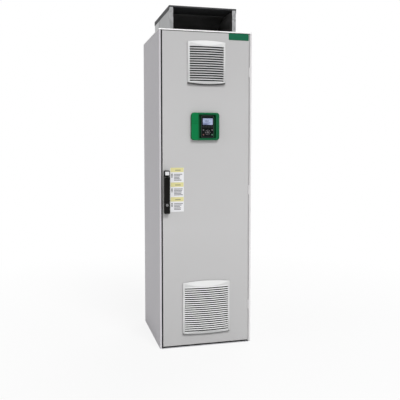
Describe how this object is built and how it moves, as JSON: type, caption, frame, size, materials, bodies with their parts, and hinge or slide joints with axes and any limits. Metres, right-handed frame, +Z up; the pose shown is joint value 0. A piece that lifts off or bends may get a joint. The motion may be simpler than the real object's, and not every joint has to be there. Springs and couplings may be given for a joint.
{
  "type": "variable frequency drive",
  "caption": "Tall floor-standing drive cabinet with a louvred, lockable door, a door keypad and an air hood on its roof.",
  "frame": {"origin": "on the floor, at the centre of the four floor-fixing holes and of the cabinet's footprint", "axes": "+Z up, -Y out of the door, +X to the door's hinge side"},
  "size_m": [0.6, 0.6335, 2.16],
  "materials": {
    "cabinet_paint": "fine structured light grey powder coat",
    "frame_paint": "light grey coat",
    "galvanised_sheet": "bright galvanised sheet",
    "black_sheet": "matt black coat",
    "zinc_steel": "zinc-plated steel",
    "sealing_foam": "foamed sealing strip",
    "grille_plastic": "light grey moulding",
    "filter_fleece": "white filter fleece",
    "green_plastic": "satin green moulding",
    "black_plastic": "fine black moulding",
    "key_rubber": "dark key caps",
    "stop_red": "red key cap",
    "run_green": "green key cap",
    "display_glass": "backlit display window",
    "handle_black": "glossy black handle",
    "lock_chrome": "bright plated",
    "guide_plastic": "black plastic guide",
    "cover_plastic": "dark grey moulding",
    "control_plastic": "mid grey moulding",
    "bare_aluminium": "extruded aluminium",
    "copper_bar": "bare copper",
    "fuse_ceramic": "glazed fuse bodies",
    "terminal_plastic": "beige insulating blocks",
    "fan_plastic": "black fan rotor"
  },
  "bodies": {
    "cabinet": {"base_frame": "frame_paint", "top_frame": "frame_paint", "front_left_upright": "frame_paint", "front_right_upright": "frame_paint", "rear_left_upright": "frame_paint", "rear_right_upright": "frame_paint", "left_side_panel": "cabinet_paint", "right_side_panel": "cabinet_paint", "rear_panel": "cabinet_paint", "roof_panel": "cabinet_paint", "gland_plate": "galvanised_sheet", "mounting_plate": "galvanised_sheet", "panel_screws": "galvanised_sheet", "hood_body": "galvanised_sheet", "hood_cover": "galvanised_sheet", "hood_liner": "black_sheet", "cabinet_hinge_leaves": "zinc_steel", "module_housing": "galvanised_sheet", "module_cover": "cover_plastic", "heatsink": "bare_aluminium", "power_modules": "cover_plastic", "dc_capacitors": "bare_aluminium", "fan_tray": "galvanised_sheet", "control_unit": "control_plastic", "reactor_core": "frame_paint", "reactor_coils": "copper_bar", "line_fuses": "fuse_ceramic", "power_busbars": "copper_bar", "terminal_blocks": "terminal_plastic", "earth_bar": "copper_bar"},
    "door": {"door_panel": "cabinet_paint", "door_gasket": "sealing_foam", "door_stiffeners": "galvanised_sheet", "door_hinge_leaves": "zinc_steel", "top_grille": "grille_plastic", "bottom_grille": "grille_plastic", "top_filter": "filter_fleece", "bottom_filter": "filter_fleece", "hmi_frame": "green_plastic", "keypad_body": "black_plastic", "keypad_screen": "display_glass", "nameplate": "green_plastic", "handle_base": "handle_black", "lock_gearbox": "zinc_steel", "rod_guides": "guide_plastic"},
    "handle_head": {"handle_spindle": "handle_black"},
    "lever": {"handle_lever": "handle_black"},
    "key_cylinder": {"lock_cylinder": "lock_chrome"},
    "upper_rod": {"upper_lock_rod": "zinc_steel"},
    "lower_rod": {"lower_lock_rod": "zinc_steel"},
    "fan": {"fan_rotor": "fan_plastic"},
    "function_key_1_body": {"function_key_1": "key_rubber"},
    "function_key_2_body": {"function_key_2": "key_rubber"},
    "function_key_3_body": {"function_key_3": "key_rubber"},
    "function_key_4_body": {"function_key_4": "key_rubber"},
    "escape_key_body": {"escape_key": "key_rubber"},
    "help_key_body": {"help_key": "key_rubber"},
    "stop_key_body": {"stop_key": "stop_red"},
    "run_key_body": {"run_key": "run_green"},
    "ok_key_body": {"ok_key": "key_rubber"}
  },
  "joints": [
    {"name": "door_hinge", "type": "hinge", "parent": "cabinet", "child": "door", "pos_m": [0.284, -0.2975, 1], "axis": [0, 0, 1], "range_deg": [0, 120]},
    {"name": "handle_turn", "type": "hinge", "parent": "door", "child": "handle_head", "pos_m": [-0.2565, -0.3, 1.113], "axis": [0, -1, 0], "range_deg": [0, 90]},
    {"name": "handle_lift", "type": "hinge", "parent": "handle_head", "child": "lever", "pos_m": [-0.2565, -0.3185, 1.085], "axis": [-1, 0, 0], "range_deg": [0, 30]},
    {"name": "key_turn", "type": "hinge", "parent": "door", "child": "key_cylinder", "pos_m": [-0.2565, -0.33, 0.916], "axis": [0, -1, 0], "range_deg": [0, 90]},
    {"name": "upper_rod_slide", "type": "slide", "parent": "door", "child": "upper_rod", "axis": [0, 0, -1], "range_m": [0, 0.01415]},
    {"name": "lower_rod_slide", "type": "slide", "parent": "door", "child": "lower_rod", "axis": [0, 0, 1], "range_m": [0, 0.01415]},
    {"name": "fan_spin", "type": "hinge", "parent": "cabinet", "child": "fan", "pos_m": [0, 0.1485, 1.815], "axis": [0, 0, 1], "continuous": true},
    {"name": "function_key_1_press", "type": "slide", "parent": "door", "child": "function_key_1_body", "axis": [0, 1, 0], "range_m": [0, 0.0008], "stiffness_N_per_m": 400},
    {"name": "function_key_2_press", "type": "slide", "parent": "door", "child": "function_key_2_body", "axis": [0, 1, 0], "range_m": [0, 0.0008], "stiffness_N_per_m": 400},
    {"name": "function_key_3_press", "type": "slide", "parent": "door", "child": "function_key_3_body", "axis": [0, 1, 0], "range_m": [0, 0.0008], "stiffness_N_per_m": 400},
    {"name": "function_key_4_press", "type": "slide", "parent": "door", "child": "function_key_4_body", "axis": [0, 1, 0], "range_m": [0, 0.0008], "stiffness_N_per_m": 400},
    {"name": "escape_key_press", "type": "slide", "parent": "door", "child": "escape_key_body", "axis": [0, 1, 0], "range_m": [0, 0.0008], "stiffness_N_per_m": 400},
    {"name": "help_key_press", "type": "slide", "parent": "door", "child": "help_key_body", "axis": [0, 1, 0], "range_m": [0, 0.0008], "stiffness_N_per_m": 400},
    {"name": "stop_key_press", "type": "slide", "parent": "door", "child": "stop_key_body", "axis": [0, 1, 0], "range_m": [0, 0.0008], "stiffness_N_per_m": 400},
    {"name": "run_key_press", "type": "slide", "parent": "door", "child": "run_key_body", "axis": [0, 1, 0], "range_m": [0, 0.0008], "stiffness_N_per_m": 400},
    {"name": "ok_key_press", "type": "slide", "parent": "door", "child": "ok_key_body", "axis": [0, 1, 0], "range_m": [0, 0.0008], "stiffness_N_per_m": 400}
  ],
  "couplings": [
    {"joint": "upper_rod_slide", "follows": "handle_turn", "m_per_rad": 0.009},
    {"joint": "lower_rod_slide", "follows": "handle_turn", "m_per_rad": 0.009}
  ]
}
